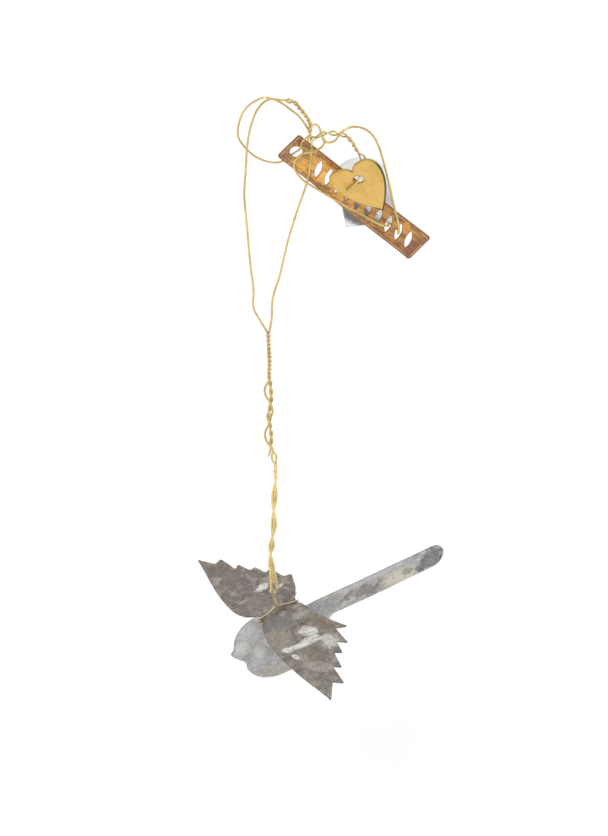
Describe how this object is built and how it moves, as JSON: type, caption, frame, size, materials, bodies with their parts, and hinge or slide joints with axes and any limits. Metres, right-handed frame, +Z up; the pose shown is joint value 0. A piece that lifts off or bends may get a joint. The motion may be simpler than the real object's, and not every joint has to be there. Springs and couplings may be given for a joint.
{
  "type": "hanging bird ornament",
  "caption": "Hanging bird ornament: a flat zinc bird with a saw-edged wing sheet on a twisted brass wire hanger with a slotted brass tag, a heart charm and a silver tag.",
  "frame": {"origin": "underside of the wire loop's crown, where the ornament hangs on a hook", "axes": "+Z up along the hanger, +X to the viewer's right (the tag's side), -Y towards the viewer"},
  "size_m": [0.0815, 0.0715, 0.2576],
  "materials": {
    "zinc_pale": "weathered zinc sheet, pale blue-grey",
    "zinc_brown": "weathered zinc sheet, brown-grey with white oxide",
    "wire": "drawn brass wire",
    "tie": "thin drawn brass wire",
    "tag": "heat-tinted brass sheet",
    "heart": "matte brass sheet",
    "silver": "bright brushed sheet"
  },
  "bodies": {
    "hanger": {"loop_wire": "wire", "drop_wire": "wire", "tag_ring_wire": "wire", "tag_loop_wire": "wire", "heart_wire": "wire"},
    "bird": {"body_plate": "zinc_pale", "wing_plate": "zinc_brown", "wing_tie_wire": "tie"},
    "tag": {"slotted_tag": "tag"},
    "heart": {"brass_heart": "heart"},
    "silver": {"silver_tag": "silver"}
  },
  "joints": [
    {"name": "bird_rock", "type": "hinge", "parent": "hanger", "child": "bird", "pos_m": [0.00006, -0.00029, -0.2157], "axis": [-0.8329, -0.5534, 0], "range_deg": [-40, 40]},
    {"name": "tag_tilt", "type": "hinge", "parent": "hanger", "child": "tag", "pos_m": [0.0256, -0.0003, -0.0406], "axis": [0.7455, -0.1522, -0.6489], "range_deg": [-4, 10]},
    {"name": "heart_swing", "type": "hinge", "parent": "hanger", "child": "heart", "pos_m": [0.0269, -0.004, -0.0295], "axis": [0, 1, 0], "range_deg": [-11, 23]},
    {"name": "silver_swing", "type": "hinge", "parent": "hanger", "child": "silver", "pos_m": [0.0289, 0.005, -0.0327], "axis": [0, 1, 0], "range_deg": [-20, 30]}
  ]
}
